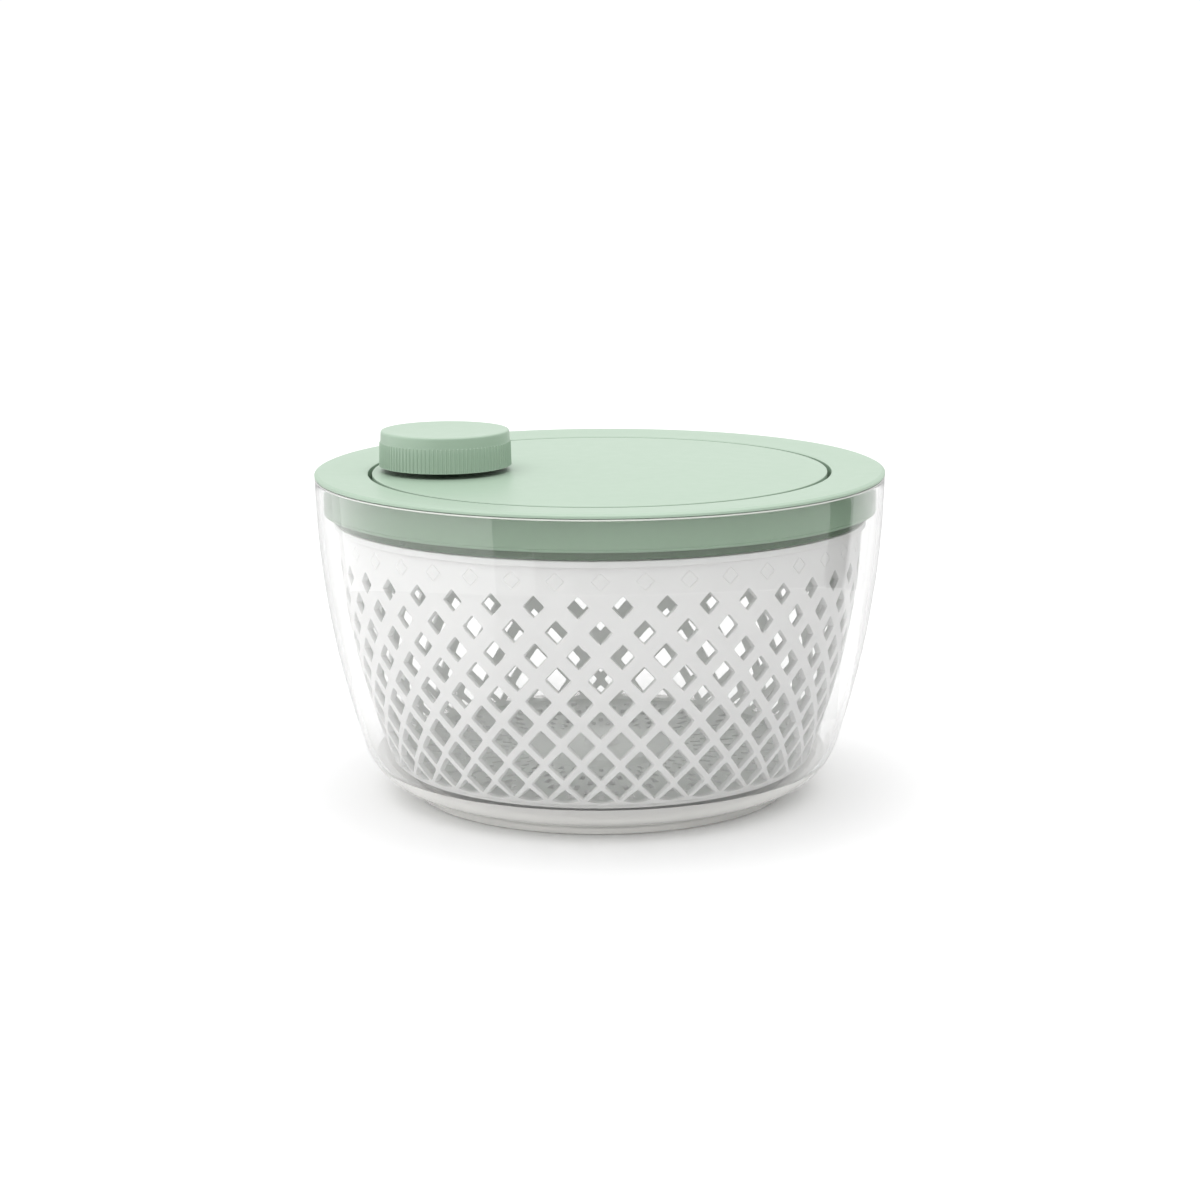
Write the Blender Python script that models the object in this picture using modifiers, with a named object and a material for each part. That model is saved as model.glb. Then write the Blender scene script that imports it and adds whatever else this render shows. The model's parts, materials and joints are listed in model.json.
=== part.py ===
"""Salad spinner: clear bowl, lattice basket, and a lid whose turntable drives the basket.

A knob stands off-centre on the turntable. An internal ring gear under the turntable turns
three planet gears on fixed pins, and these turn the sun gear on the drive plate, which
grips the basket. Metres, +Z up. The origin is on the axis, on the surface it stands on.
"""

from math import cos, pi, radians, sin, tan

import bmesh
import bpy
from mathutils import Matrix, Vector

MM = 0.001
TURN_STEPS = 40
FINE_STEPS = 16
GAP = 0.3 * MM

# Bowl
BOWL_HEIGHT = 141.2 * MM
BOWL_WALL = 2.4 * MM
FOOT_R = 83.6 * MM
FLOOR_TOP = 5.4 * MM
PIVOT_POST_R = 3.8 * MM
PIVOT_POST_TOP = 17.2 * MM

# Basket
BASKET_BOTTOM = 13.0 * MM
BASKET_TOP = 123.2 * MM
BASKET_WALL = 2.4 * MM
BASKET_FLANGE_R = 117.0 * MM
BASKET_FLANGE_HEIGHT = 2.8 * MM
BASKET_FLOOR_TOP = 14.8 * MM
HUB_R = 6.8 * MM
HUB_TOP = 23.6 * MM
HUB_SOCKET_R = 5.5 * MM
WINDOW_COLUMNS = 20
WINDOW_ROWS = 5
SLOT_COUNT = 20
SLOT_RINGS = (50 * MM, 63 * MM, 76 * MM)
DRIVE_LUGS = 4

# Lid
LID_R = 125.0 * MM
LID_TOP = 143.2 * MM
RIM_THICKNESS = 1.7 * MM
WELL_R = 101.5 * MM
WELL_FLOOR_TOP = 137.4 * MM
WELL_HOLE_R = 62.8 * MM
SKIRT_R = 121.5 * MM
SKIRT_BOTTOM = 127.3 * MM
HOUSING_FLOOR = 129.2 * MM
SHEET = 1.8 * MM
LID_SCREWS = 6
LID_SCREW_CIRCLE_R = 111.5 * MM
LID_SCREW_START = 30.0

# Turntable and its ring gear
TURNTABLE_R = 99.8 * MM
TURNTABLE_TOP = 142.2 * MM
RING_BOTTOM = 131.5 * MM
RING_TOP = 137.1 * MM
RING_R = 61.5 * MM
RING_LIP_R = 67.0 * MM
RING_SCREWS = 4
RING_SCREW_CIRCLE_R = 58.6 * MM
RING_SCREW_START = 45.0

# Gear train
MODULE = 1.5 * MM
RING_TEETH = 72
PLANET_TEETH = 24
SUN_TEETH = 24
PLANETS = 3
ADDENDUM = 0.8
DEDENDUM = 1.1
TOOTH_SHARE = 0.42
PRESSURE_ANGLE = radians(20)
GEAR_BOTTOM = 131.6 * MM
GEAR_TOP = 136.6 * MM
PLANET_CIRCLE_R = MODULE * (SUN_TEETH + PLANET_TEETH) / 2
PLANET_BORE_R = 2.4 * MM
PIN_R = 2.0 * MM

# Drive plate
PLATE_R = 117.2 * MM
PLATE_BOTTOM = 123.6 * MM
PLATE_TOP = 127.0 * MM

# Knob
KNOB_X = -67.8 * MM
KNOB_BOTTOM = 144.5 * MM
KNOB_TOP = 160.2 * MM
KNOB_BASE_R = 29.05 * MM
KNOB_CROWN_R = 28.0 * MM
AXLE_R = 3.0 * MM

COLOURS = {
    "clear": ((0.93, 0.95, 0.94, 1), 0.04, 0),
    "white": ((0.86, 0.87, 0.86, 1), 0.4, 0),
    "green": ((0.42, 0.58, 0.44, 1), 0.45, 0),
    "dark_green": ((0.13, 0.2, 0.13, 1), 0.5, 0),
    "acetal": ((0.8, 0.79, 0.74, 1), 0.35, 0),
    "steel": ((0.6, 0.6, 0.62, 1), 0.25, 1),
}


def clear_scene():
    for thing in list(bpy.data.objects):
        bpy.data.objects.remove(thing)


def new_collection(name):
    group = bpy.data.collections.new(name)
    bpy.context.scene.collection.children.link(group)
    return group


def paint(thing, colour_name):
    """Gives a sub-part its own Principled material in the named colour."""
    colour, roughness, metallic = COLOURS[colour_name]
    material = bpy.data.materials.new(thing.name)
    material.use_nodes = True
    shader = material.node_tree.nodes["Principled BSDF"]
    shader.inputs["Base Color"].default_value = colour
    shader.inputs["Roughness"].default_value = roughness
    shader.inputs["Metallic"].default_value = metallic
    if colour_name == "clear":
        shader.inputs["Transmission Weight"].default_value = 1
    thing.data.materials.append(material)


def place(thing, x=0, y=0, z=0, turn=0):
    thing.location = (x, y, z)
    thing.rotation_euler = (0, 0, turn)
    return thing


def on_circle(radius, count, start_degrees=0):
    """Yields the number, the angle and the point of each place on a circle."""
    for number in range(count):
        angle = radians(start_degrees) + 2 * pi * number / count
        yield number, angle, radius * cos(angle), radius * sin(angle)


def turned(name, profile, steps=TURN_STEPS, closed=False, origin=(0, 0)):
    """A turned solid. The profile is in metres, and runs down its outer side."""
    mesh = bpy.data.meshes.new(name)
    points = [(radius, 0, height) for radius, height in profile]
    edges = [(i, i + 1) for i in range(len(points) - 1)]
    if closed:
        edges.append((len(points) - 1, 0))
    mesh.from_pydata(points, edges, [])
    thing = bpy.data.objects.new(name, mesh)
    screw = thing.modifiers.new("turn", "SCREW")
    screw.axis = "Z"
    screw.steps = steps
    screw.render_steps = steps
    screw.use_merge_vertices = True
    screw.merge_threshold = 0.00001
    thing.location = (origin[0], origin[1], 0)
    return thing


def solid_mesh(name, make):
    """A mesh object that a bmesh function fills."""
    mesh = bpy.data.meshes.new(name)
    work = bmesh.new()
    make(work)
    bmesh.ops.recalc_face_normals(work, faces=work.faces)
    work.to_mesh(mesh)
    work.free()
    return bpy.data.objects.new(name, mesh)


def add_rod(work, radius, low, high, x=0, y=0, sides=FINE_STEPS):
    """Adds an upright cylinder between two heights."""
    middle = Matrix.Translation((x, y, (low + high) / 2))
    bmesh.ops.create_cone(work, cap_ends=True, segments=sides, radius1=radius,
                          radius2=radius, depth=high - low, matrix=middle)


def add_box(work, size, matrix):
    bmesh.ops.create_cube(work, size=1, matrix=matrix @ Matrix.Diagonal((*size, 1)))


def hide_cutter(thing, group):
    thing.hide_render = True
    thing.display_type = "WIRE"
    group.objects.link(thing)
    return thing


def combine(thing, tool, operation):
    change = thing.modifiers.new(tool.name, "BOOLEAN")
    change.operation = operation
    change.solver = "EXACT"
    change.object = tool


def rods_tool(name, cutters, rods):
    """One cutter made of upright cylinders: (radius, low, high, x, y) each."""
    def make(work):
        for rod in rods:
            add_rod(work, *rod)
    return hide_cutter(solid_mesh(name, make), cutters)


def finish(thing, colour_name, parts, parent=None):
    paint(thing, colour_name)
    parts.objects.link(thing)
    if parent:
        thing.parent = parent
    return thing


def pivot(name, parts, x=0, y=0):
    """An empty on a joint's axis. The pieces under it keep their own world places."""
    empty = bpy.data.objects.new(name, None)
    empty.location = (x, y, 0)
    parts.objects.link(empty)
    return empty


def under(empty, thing):
    thing.location = Vector(thing.location) - Vector(empty.location)
    thing.parent = empty


# Bowl and basket


def bowl_outer():
    """The bowl's outer side from the lip to the rounded lower corner, as millimetres."""
    return ((124.9, 139.6), (124.4, 128), (122.9, 106), (120.3, 85), (116.7, 64.5),
            (112.0, 45), (107.2, 28), (103.1, 17.5), (98.9, 11), (93.6, 6.6), (88.4, 5.0))


def make_bowl(parts):
    outer = [(radius * MM, height * MM) for radius, height in bowl_outer()]
    inner = [(radius - BOWL_WALL, height) for radius, height in outer[1:-2]]
    inner.reverse()
    lip = [(LID_R - BOWL_WALL - 0.3 * MM, BOWL_HEIGHT - 0.6 * MM),
           (LID_R - 1.9 * MM, BOWL_HEIGHT), (LID_R - 0.6 * MM, BOWL_HEIGHT)]
    post = [(0, PIVOT_POST_TOP), (PIVOT_POST_R, PIVOT_POST_TOP - 0.4 * MM),
            (PIVOT_POST_R, 9.4 * MM), (9 * MM, 9.4 * MM), (16 * MM, FLOOR_TOP)]
    floor = [(88 * MM, FLOOR_TOP + 0.4 * MM)]
    foot = [(84.6 * MM, 4.4 * MM), (FOOT_R, 0), (80.4 * MM, 0), (79.6 * MM, 2.8 * MM),
            (16 * MM, 2.8 * MM), (6 * MM, 5.6 * MM), (0, 5.6 * MM)]
    bowl = turned("bowl", post + floor + inner + lip + outer + foot)
    finish(bowl, "clear", parts)


def basket_radius(height):
    """The basket's outer radius at a height: a cubic through four measured radii."""
    known = ((5, 88.85), (45, 103.2), (85, 112.2), (125, 114.85))
    total = 0
    for at, radius in known:
        weight = 1
        for other, _ in known:
            if other != at:
                weight *= (height / MM - other) / (at - other)
        total += radius * weight
    return total * MM


def basket_profile():
    """Floor, hub and wall in one closed outline: from the hub outwards, then back below."""
    hub = [(0, HUB_TOP), (HUB_R, HUB_TOP), (HUB_R, 17.4 * MM), (41 * MM, 17.4 * MM),
           (44 * MM, BASKET_FLOOR_TOP), (basket_radius(17 * MM) - 3.4 * MM, BASKET_FLOOR_TOP)]
    heights = [height * MM for height in (19, 45, 72, 100, 119)]
    inner = [(basket_radius(height) - BASKET_WALL, height) for height in heights]
    flange_low = BASKET_TOP - BASKET_FLANGE_HEIGHT
    flange = [(basket_radius(BASKET_TOP) - BASKET_WALL, BASKET_TOP),
              (BASKET_FLANGE_R, BASKET_TOP), (BASKET_FLANGE_R, flange_low),
              (basket_radius(flange_low), flange_low)]
    outer = [(basket_radius(height), height) for height in reversed(heights[:-1])]
    below = [(basket_radius(14 * MM), 14 * MM), (90 * MM, BASKET_BOTTOM),
             (42 * MM, BASKET_BOTTOM), (39 * MM, 15.2 * MM), (HUB_SOCKET_R, 15.2 * MM),
             (HUB_SOCKET_R, 21 * MM), (0, 21 * MM)]
    return hub + inner + flange + outer + below


def make_window_cutter(cutters):
    """Diamond prisms through the wall, in rows offset by half a column."""
    pitch = 2 * pi / WINDOW_COLUMNS
    low, high = 19 * MM, 110 * MM
    rise = (high - low) / (WINDOW_ROWS + 1)

    def make(work):
        for row in range(WINDOW_ROWS):
            height = low + rise * (row + 1)
            radius = basket_radius(height)
            share = 0.80 - 0.05 * row
            for column in range(WINDOW_COLUMNS):
                angle = pitch * (column + 0.5 * (row % 2)) + radians(1.3)
                aim = Matrix.Rotation(angle, 4, "Z") @ Matrix.Translation((radius, 0, height))
                lie = aim @ Matrix.Rotation(pi / 2, 4, "Y")
                size = Matrix.Diagonal((rise * share, radius * pitch / 2 * share, 1, 1))
                bmesh.ops.create_cone(work, cap_ends=True, segments=4, radius1=1, radius2=1,
                                      depth=26 * MM, matrix=lie @ size)
    return hide_cutter(solid_mesh("basket_windows", make), cutters)


def make_slot_cutter(cutters):
    """Short radial slots in staggered rings through the basket's floor."""
    def make(work):
        for ring, radius in enumerate(SLOT_RINGS):
            start = 180 / SLOT_COUNT * (ring % 2) + 3
            for _, angle, x, y in on_circle(radius, SLOT_COUNT, start):
                aim = Matrix.Translation((x, y, BASKET_FLOOR_TOP)) @ Matrix.Rotation(angle, 4, "Z")
                add_box(work, (9 * MM, 2.4 * MM, 8 * MM), aim)
    return hide_cutter(solid_mesh("basket_slots", make), cutters)


def make_drive_ribs(cutters):
    """Pairs of small ribs inside the rim, one pair to each lug of the drive plate."""
    inner = basket_radius(121 * MM) - BASKET_WALL

    def make(work):
        for _, angle, _, _ in on_circle(0, DRIVE_LUGS, 0):
            for side in (-1, 1):
                aim = Matrix.Rotation(angle + side * radians(6), 4, "Z")
                aim = aim @ Matrix.Translation((inner - 0.4 * MM, 0, 120.5 * MM))
                add_box(work, (3 * MM, 2 * MM, 4 * MM), aim)
    return hide_cutter(solid_mesh("basket_ribs", make), cutters)


def make_basket(parts, cutters, parent):
    basket = turned("basket", basket_profile())
    combine(basket, make_drive_ribs(cutters), "UNION")
    combine(basket, make_window_cutter(cutters), "DIFFERENCE")
    combine(basket, make_slot_cutter(cutters), "DIFFERENCE")
    finish(basket, "white", parts, parent)


def make_pivot_bush(parts, parent):
    bore = PIVOT_POST_R + GAP
    radius = HUB_SOCKET_R - GAP
    profile = [(0, 20.6 * MM), (radius, 20.6 * MM), (radius, 9.8 * MM), (bore, 9.8 * MM),
               (bore, PIVOT_POST_TOP + GAP), (0, PIVOT_POST_TOP + GAP)]
    finish(turned("pivot_bush", profile, FINE_STEPS), "acetal", parts, parent)


# Lid


def make_lid_cover(parts, cutters, parent):
    """Rim ring, well for the turntable, and screw bosses in one moulding."""
    under_rim = LID_TOP - RIM_THICKNESS
    profile = [(LID_R - 1.2 * MM, LID_TOP), (LID_R, LID_TOP - 0.6 * MM),
               (LID_R - 0.1 * MM, under_rim), (WELL_R + SHEET, under_rim),
               (WELL_R + SHEET, WELL_FLOOR_TOP - SHEET), (WELL_HOLE_R, WELL_FLOOR_TOP - SHEET),
               (WELL_HOLE_R, WELL_FLOOR_TOP), (WELL_R, WELL_FLOOR_TOP),
               (WELL_R, LID_TOP - 0.9 * MM), (WELL_R + 6 * MM, LID_TOP - 0.2 * MM)]
    cover = turned("lid_cover", profile, closed=True)
    boss_low = HOUSING_FLOOR + SHEET + GAP
    bosses = [(4 * MM, boss_low, under_rim + 0.5 * MM, x, y)
              for _, _, x, y in on_circle(LID_SCREW_CIRCLE_R, LID_SCREWS, LID_SCREW_START)]
    pilots = [(1.6 * MM, boss_low - MM, boss_low + 7 * MM, x, y)
              for _, _, x, y in on_circle(LID_SCREW_CIRCLE_R, LID_SCREWS, LID_SCREW_START)]
    combine(cover, rods_tool("cover_bosses", cutters, bosses), "UNION")
    combine(cover, rods_tool("cover_pilots", cutters, pilots), "DIFFERENCE")
    finish(cover, "green", parts, parent)


def make_lid_housing(parts, cutters, parent):
    """Skirt and gear-chamber floor. The planet pins and the drive bush stand in it."""
    top = LID_TOP - RIM_THICKNESS - GAP
    profile = [(SKIRT_R - SHEET, top), (SKIRT_R, top), (SKIRT_R - 0.5 * MM, SKIRT_BOTTOM),
               (SKIRT_R - SHEET, SKIRT_BOTTOM), (SKIRT_R - SHEET, HOUSING_FLOOR),
               (7.4 * MM, HOUSING_FLOOR), (7.4 * MM, HOUSING_FLOOR + SHEET),
               (SKIRT_R - SHEET, HOUSING_FLOOR + SHEET)]
    profile[4] = (SKIRT_R - SHEET - 0.01 * MM, HOUSING_FLOOR)
    profile[7] = (SKIRT_R - SHEET - 0.01 * MM, HOUSING_FLOOR + SHEET)
    housing = turned("lid_housing", profile, closed=True)
    floor = (HOUSING_FLOOR - MM, HOUSING_FLOOR + SHEET + MM)
    holes = [(1.7 * MM, *floor, x, y)
             for _, _, x, y in on_circle(LID_SCREW_CIRCLE_R, LID_SCREWS, LID_SCREW_START)]
    holes += [(PIN_R + GAP, *floor, x, y)
              for _, _, x, y in on_circle(PLANET_CIRCLE_R, PLANETS, 90)]
    combine(housing, rods_tool("housing_holes", cutters, holes), "DIFFERENCE")
    finish(housing, "green", parts, parent)


def make_screw(name, parts, parent, x, y, seat, tip, head_r, shank_r, head_height=1.3 * MM):
    """A pan-head screw that points up: its head hangs below the seat."""
    profile = [(0, tip), (shank_r, tip), (shank_r, seat), (head_r, seat),
               (head_r * 0.8, seat - head_height), (0, seat - head_height)]
    screw = turned(name, profile, 10, origin=(x, y))
    finish(screw, "steel", parts)
    if parent:
        under(parent, screw)


def make_lid_screws(parts, parent):
    for number, _, x, y in on_circle(LID_SCREW_CIRCLE_R, LID_SCREWS, LID_SCREW_START):
        make_screw(f"lid_screw_{number + 1}", parts, parent, x, y, HOUSING_FLOOR - 0.1 * MM,
                   138 * MM, 3.2 * MM, 1.3 * MM)


def make_glide_ring(parts, parent):
    low = WELL_FLOOR_TOP + GAP
    profile = [(92 * MM, low + 1.2 * MM), (96 * MM, low + 1.2 * MM), (96 * MM, low), (92 * MM, low)]
    finish(turned("glide_ring", profile, closed=True), "acetal", parts, parent)


def make_shaft_bush(parts, parent):
    """Flanged bearing between the housing floor and the drive shaft."""
    low = 128 * MM
    profile = [(5.2 * MM, 131.3 * MM), (7.0 * MM, 131.3 * MM), (7.0 * MM, 128.9 * MM),
               (9.5 * MM, 128.9 * MM), (9.5 * MM, low), (5.2 * MM, low)]
    finish(turned("shaft_bush", profile, FINE_STEPS, closed=True), "acetal", parts, parent)


def make_planet_pins(parts, parent):
    for number, _, x, y in on_circle(PLANET_CIRCLE_R, PLANETS, 90):
        profile = [(0, 138.4 * MM), (3.4 * MM, 138.4 * MM), (3.4 * MM, GEAR_TOP + GAP),
                   (PIN_R, GEAR_TOP + GAP), (PIN_R, HOUSING_FLOOR + 0.1 * MM),
                   (0, HOUSING_FLOOR + 0.1 * MM)]
        pin = turned(f"planet_pin_{number + 1}", profile, 12, origin=(x, y))
        finish(pin, "steel", parts, parent)


# Gear train


def tooth_outline(teeth, inward=False, start=0):
    """Straight-flanked teeth, four points each, on the pitch circle of the module."""
    pitch_r = MODULE * teeth / 2
    half_pitch = TOOTH_SHARE * pi * MODULE / 2
    side = -1 if inward else 1
    tip_r = pitch_r + side * ADDENDUM * MODULE
    root_r = pitch_r - side * DEDENDUM * MODULE
    tip_half = (half_pitch - ADDENDUM * MODULE * tan(PRESSURE_ANGLE)) / tip_r
    root_half = (half_pitch + DEDENDUM * MODULE * tan(PRESSURE_ANGLE)) / root_r
    points = []
    for tooth in range(teeth):
        middle = start + 2 * pi * tooth / teeth
        for radius, offset in ((root_r, -root_half), (tip_r, -tip_half),
                               (tip_r, tip_half), (root_r, root_half)):
            points.append((radius * cos(middle + offset), radius * sin(middle + offset)))
    return points


def circle_outline(radius, sides):
    return [(x, y) for _, _, x, y in on_circle(radius, sides)]


def extruded(name, outlines, low, high):
    """A solid between two heights from flat outlines: the first outside, the rest holes."""
    curve = bpy.data.curves.new(name, "CURVE")
    curve.dimensions = "2D"
    curve.fill_mode = "BOTH"
    curve.extrude = (high - low) / 2
    curve.resolution_u = 1
    for outline in outlines:
        spline = curve.splines.new("POLY")
        spline.points.add(len(outline) - 1)
        for point, (x, y) in zip(spline.points, outline):
            point.co = (x, y, 0, 1)
        spline.use_cyclic_u = True
    source = bpy.data.objects.new(name + "_outline", curve)
    mesh = bpy.data.meshes.new_from_object(source)
    bpy.data.objects.remove(source)
    work = bmesh.new()
    work.from_mesh(mesh)
    bmesh.ops.remove_doubles(work, verts=work.verts, dist=0.000001)
    bmesh.ops.recalc_face_normals(work, faces=work.faces)
    bmesh.ops.translate(work, verts=work.verts, vec=(0, 0, (low + high) / 2))
    work.to_mesh(mesh)
    work.free()
    return bpy.data.objects.new(name, mesh)


def make_planets(parts):
    for number, angle, x, y in on_circle(PLANET_CIRCLE_R, PLANETS, 90):
        name = f"planet_gear_{number + 1}"
        start = angle + pi / PLANET_TEETH
        outlines = [tooth_outline(PLANET_TEETH, start=start), circle_outline(PLANET_BORE_R, 12)]
        gear = extruded(name, outlines, GEAR_BOTTOM, GEAR_TOP)
        place(gear, x, y)
        finish(gear, "acetal", parts)


def make_sun_gear(parts, cutters, parent):
    """Teeth, round journal and hexagonal drive end in one moulding."""
    sun = extruded("sun_gear", [tooth_outline(SUN_TEETH, start=pi / 2)], GEAR_BOTTOM, GEAR_TOP)

    def journal(work):
        add_rod(work, 4.9 * MM, 128.6 * MM, GEAR_BOTTOM + MM)

    def hexagon(work):
        add_rod(work, 4.0 * MM, 125.2 * MM, GEAR_BOTTOM + 2 * MM, sides=6)

    combine(sun, hide_cutter(solid_mesh("sun_journal", journal), cutters), "UNION")
    combine(sun, hide_cutter(solid_mesh("sun_hexagon", hexagon), cutters), "UNION")
    pilot = rods_tool("sun_pilot", cutters, [(1.9 * MM, 124 * MM, 133.5 * MM, 0, 0)])
    combine(sun, pilot, "DIFFERENCE")
    finish(sun, "acetal", parts, parent)


def make_drive_plate(parts, cutters, parent):
    """The disc that sits on the basket's rim, with lugs that reach down inside it."""
    web_low = PLATE_TOP - SHEET
    profile = [(9 * MM, 127.6 * MM), (9 * MM, PLATE_TOP), (PLATE_R, PLATE_TOP),
               (PLATE_R, PLATE_BOTTOM), (PLATE_R - 2 * MM, PLATE_BOTTOM),
               (PLATE_R - 2 * MM, web_low), (9 * MM, web_low), (9 * MM, PLATE_BOTTOM),
               (0, PLATE_BOTTOM), (0, 127.6 * MM)]
    profile = [profile[-1]] + profile[:-1]
    plate = turned("drive_plate", profile)

    def lugs(work):
        for _, angle, _, _ in on_circle(0, DRIVE_LUGS, 0):
            aim = Matrix.Rotation(angle, 4, "Z") @ Matrix.Translation((109.5 * MM, 0, 122.2 * MM))
            add_box(work, (3 * MM, 12 * MM, 7 * MM), aim)

    def socket(work):
        add_rod(work, 4.4 * MM, 124.9 * MM, 129 * MM, sides=6)

    combine(plate, hide_cutter(solid_mesh("plate_lugs", lugs), cutters), "UNION")
    combine(plate, hide_cutter(solid_mesh("plate_socket", socket), cutters), "DIFFERENCE")
    hole = rods_tool("plate_hole", cutters, [(1.9 * MM, 122 * MM, 125.5 * MM, 0, 0)])
    combine(plate, hole, "DIFFERENCE")
    finish(plate, "dark_green", parts, parent)


def make_drive(parts, cutters):
    drive = pivot("drive_axis", parts)
    make_sun_gear(parts, cutters, drive)
    make_drive_plate(parts, cutters, drive)
    make_screw("drive_screw", parts, drive, 0, 0, PLATE_BOTTOM - GAP, 133 * MM, 4.5 * MM, 1.6 * MM)


# Turntable and knob


def make_turntable(parts, cutters, parent):
    """The flush disc that the knob turns, with a slide rib and screw bosses below."""
    plate_low = TURNTABLE_TOP - SHEET
    rib_low = WELL_FLOOR_TOP + GAP + 1.2 * MM + GAP
    profile = [(0, TURNTABLE_TOP), (TURNTABLE_R - 0.5 * MM, TURNTABLE_TOP),
               (TURNTABLE_R, TURNTABLE_TOP - 0.5 * MM), (TURNTABLE_R, 138.4 * MM),
               (TURNTABLE_R - SHEET, 138.4 * MM), (TURNTABLE_R - SHEET, plate_low),
               (95.4 * MM, plate_low), (95.4 * MM, rib_low), (92.6 * MM, rib_low),
               (92.6 * MM, plate_low), (0, plate_low)]
    table = turned("turntable", profile)
    boss_low = RING_TOP + GAP
    screws = list(on_circle(RING_SCREW_CIRCLE_R, RING_SCREWS, RING_SCREW_START))
    bosses = [(3.2 * MM, boss_low, plate_low + 0.6 * MM, x, y, 12) for _, _, x, y in screws]
    holes = [(1.6 * MM, boss_low - MM, boss_low + 3 * MM, x, y, 10) for _, _, x, y in screws]
    holes.append((AXLE_R + GAP, plate_low - MM, TURNTABLE_TOP + MM, KNOB_X, 0, 12))
    combine(table, rods_tool("turntable_bosses", cutters, bosses), "UNION")
    combine(table, rods_tool("turntable_holes", cutters, holes), "DIFFERENCE")
    finish(table, "green", parts, parent)


def make_ring_gear(parts, cutters, parent):
    """Internal gear under the turntable. Its lip hooks below the edge of the well's hole."""
    outlines = [circle_outline(RING_R, TURN_STEPS), tooth_outline(RING_TEETH, inward=True)]
    gear = extruded("ring_gear", outlines, RING_BOTTOM, RING_TOP)
    lip = [(RING_R - MM, 135.2 * MM), (RING_LIP_R, 135.2 * MM), (RING_LIP_R, 133.2 * MM),
           (RING_R - MM, 133.2 * MM)]
    tool = turned("ring_lip", lip, closed=True)
    combine(gear, hide_cutter(tool, cutters), "UNION")
    screws = list(on_circle(RING_SCREW_CIRCLE_R, RING_SCREWS, RING_SCREW_START))
    holes = [(1.5 * MM, RING_BOTTOM - MM, RING_TOP + MM, x, y, 10) for _, _, x, y in screws]
    sinks = [(2.6 * MM, RING_BOTTOM - MM, RING_BOTTOM + 1.5 * MM, x, y, 12) for _, _, x, y in screws]
    combine(gear, rods_tool("ring_holes", cutters, holes), "DIFFERENCE")
    combine(gear, rods_tool("ring_sinks", cutters, sinks), "DIFFERENCE")
    finish(gear, "acetal", parts, parent)


def make_ring_screws(parts, parent):
    for number, _, x, y in on_circle(RING_SCREW_CIRCLE_R, RING_SCREWS, RING_SCREW_START):
        make_screw(f"ring_screw_{number + 1}", parts, parent, x, y, RING_BOTTOM + 1.4 * MM,
                   140 * MM, 2.3 * MM, 1.2 * MM, 1.1 * MM)


def make_knob_axle(parts, cutters, parent):
    plate_low = TURNTABLE_TOP - SHEET
    profile = [(0, 152.6 * MM), (AXLE_R, 152.6 * MM), (AXLE_R, plate_low - GAP),
               (7 * MM, plate_low - GAP), (7 * MM, 138.8 * MM), (0, 138.8 * MM)]
    axle = turned("knob_axle", profile, FINE_STEPS, origin=(KNOB_X, 0))
    pilot = rods_tool("axle_pilot", cutters, [(1.8 * MM, 144 * MM, 154 * MM, KNOB_X, 0)])
    combine(axle, pilot, "DIFFERENCE")
    finish(axle, "steel", parts, parent)


def make_knob_cap(parts, parent):
    """The knob's shell: dished top, rounded edge, and a slightly wider gripping band."""
    wall = 2 * MM
    profile = [(0, KNOB_TOP - 0.7 * MM), (14 * MM, KNOB_TOP - 0.4 * MM),
               (KNOB_CROWN_R - 3.4 * MM, KNOB_TOP), (KNOB_CROWN_R - 1.2 * MM, KNOB_TOP - 0.5 * MM),
               (KNOB_CROWN_R - 0.2 * MM, KNOB_TOP - 1.8 * MM), (KNOB_CROWN_R + 0.2 * MM, 155.4 * MM),
               (KNOB_BASE_R - 0.4 * MM, 154.8 * MM), (KNOB_BASE_R, KNOB_BOTTOM),
               (KNOB_BASE_R - wall, KNOB_BOTTOM), (KNOB_CROWN_R - wall, 155 * MM),
               (KNOB_CROWN_R - wall - 0.6 * MM, KNOB_TOP - wall - 0.4 * MM),
               (0, KNOB_TOP - wall - 0.7 * MM)]
    cap = turned("knob_cap", profile, 32)
    finish(cap, "green", parts, parent)


def make_knob_base(parts, parent):
    """The knob's hub and underside, which turn on the axle."""
    bore = AXLE_R + GAP
    radius = KNOB_CROWN_R - 2.6 * MM
    profile = [(6.5 * MM, 152.4 * MM), (6.5 * MM, 147 * MM), (radius, 147 * MM),
               (radius, 145.2 * MM), (6.5 * MM, 145.2 * MM), (6.5 * MM, 142.6 * MM),
               (bore, 142.6 * MM), (bore, 152.4 * MM)]
    base = turned("knob_base", profile, 24, closed=True)
    finish(base, "dark_green", parts, parent)


def make_knob_retainer(parts, parent):
    low = 152.9 * MM
    profile = [(1.9 * MM, low + 0.8 * MM), (5.6 * MM, low + 0.8 * MM), (5.6 * MM, low),
               (1.9 * MM, low)]
    washer = turned("knob_washer", profile, FINE_STEPS, closed=True, origin=(KNOB_X, 0))
    finish(washer, "steel", parts, parent)
    shank = [(0, 155.7 * MM), (2.4 * MM, 155.7 * MM), (3.2 * MM, 154 * MM), (1.4 * MM, 154 * MM),
             (1.4 * MM, 146 * MM), (0, 146 * MM)]
    screw = turned("knob_screw", shank, 12, origin=(KNOB_X, 0))
    finish(screw, "steel", parts, parent)


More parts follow.
